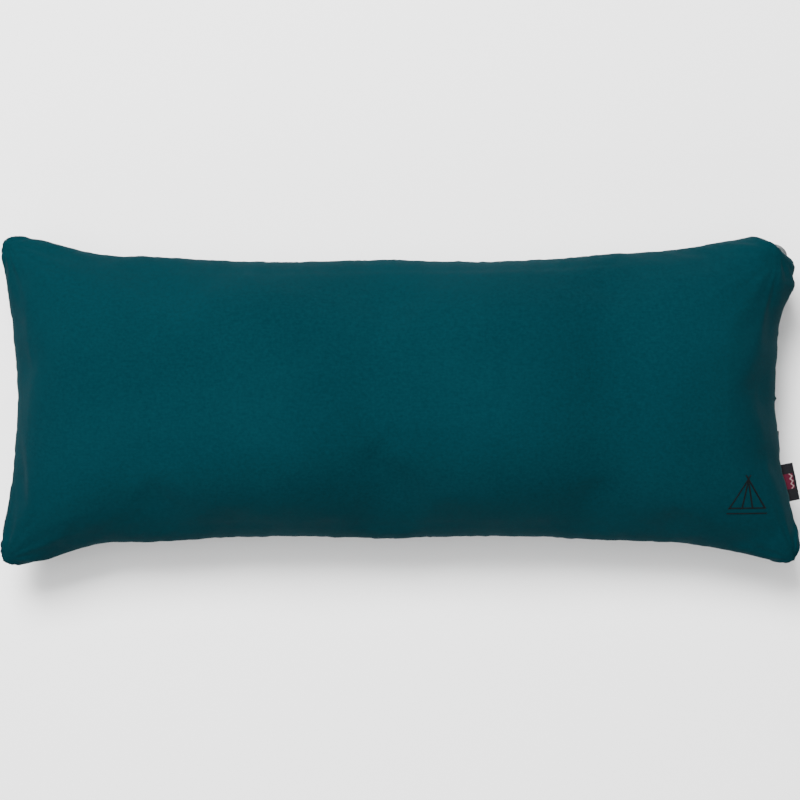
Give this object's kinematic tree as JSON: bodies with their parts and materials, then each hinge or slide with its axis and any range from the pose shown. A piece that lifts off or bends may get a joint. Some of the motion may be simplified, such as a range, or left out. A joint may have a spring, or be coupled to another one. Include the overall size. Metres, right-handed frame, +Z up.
{
  "type": "inflatable camp pillow",
  "caption": "Inflatable travel pillow with curved edges: a soft zipped fabric cover round a chambered air bladder with a capped two-stage valve in one corner.",
  "frame": {"origin": "middle of the pillow's footprint, on the surface it lies on", "axes": "+X along the length towards the zip and valve end, +Y across the width towards the valve's long edge, +Z up out of the front panel"},
  "size_m": [0.5101, 0.2106, 0.1079],
  "materials": {
    "cover_cloth": "soft brushed polyester, deep teal",
    "cover_binding": "folded binding tape",
    "label_weave": "woven satin label, black",
    "zip_tape": "woven zip tape",
    "zip_coil": "moulded nylon coil",
    "zip_metal": "dark lacquered metal",
    "bladder_film": "laminated polyurethane, matt",
    "valve_plastic": "soft grey moulded plastic",
    "valve_silicone": "translucent grey silicone"
  },
  "bodies": {
    "pillow": {"cover_front_panel": "cover_cloth", "cover_back_panel": "cover_cloth", "side_label": "label_weave", "zip_tape_front": "zip_tape", "zip_tape_back": "zip_tape", "zip_coil_front": "zip_coil", "zip_coil_back": "zip_coil", "zip_bottom_stop": "zip_metal", "zip_top_stop": "zip_metal", "bladder_front_skin": "bladder_film", "bladder_back_skin": "bladder_film", "web_left": "bladder_film", "web_middle": "bladder_film", "web_right": "bladder_film", "valve_base": "valve_plastic", "valve_opening_binding": "cover_binding"},
    "slider": {"zip_slider": "zip_metal"},
    "pull": {"zip_pull": "zip_metal"},
    "plug": {"valve_plug": "valve_plastic"},
    "flap": {"valve_flap": "valve_silicone"},
    "cap": {"valve_cap": "valve_plastic"}
  },
  "joints": [
    {"name": "zip_slide", "type": "slide", "parent": "pillow", "child": "slider", "axis": [0, 1, 0], "range_m": [0, 0.054]},
    {"name": "zip_pull_hinge", "type": "hinge", "parent": "slider", "child": "pull", "pos_m": [0.23978, -0.0221, 0.051], "axis": [0, 0, 1], "range_deg": [0, 180]},
    {"name": "plug_hinge", "type": "hinge", "parent": "pillow", "child": "plug", "pos_m": [0.23647, 0.08654, 0.02391], "axis": [-0.7547, 0.6561, 0], "range_deg": [0, 90]},
    {"name": "cap_hinge", "type": "hinge", "parent": "plug", "child": "cap", "pos_m": [0.24013, 0.09076, 0.02438], "axis": [-0.7547, 0.6561, 0], "range_deg": [0, 100]},
    {"name": "flap_hinge", "type": "hinge", "parent": "plug", "child": "flap", "pos_m": [0.23232, 0.09091, 0.0372], "axis": [-0.328, -0.3774, -0.866], "range_deg": [0, 30], "stiffness_Nm_per_rad": 0.0005}
  ]
}
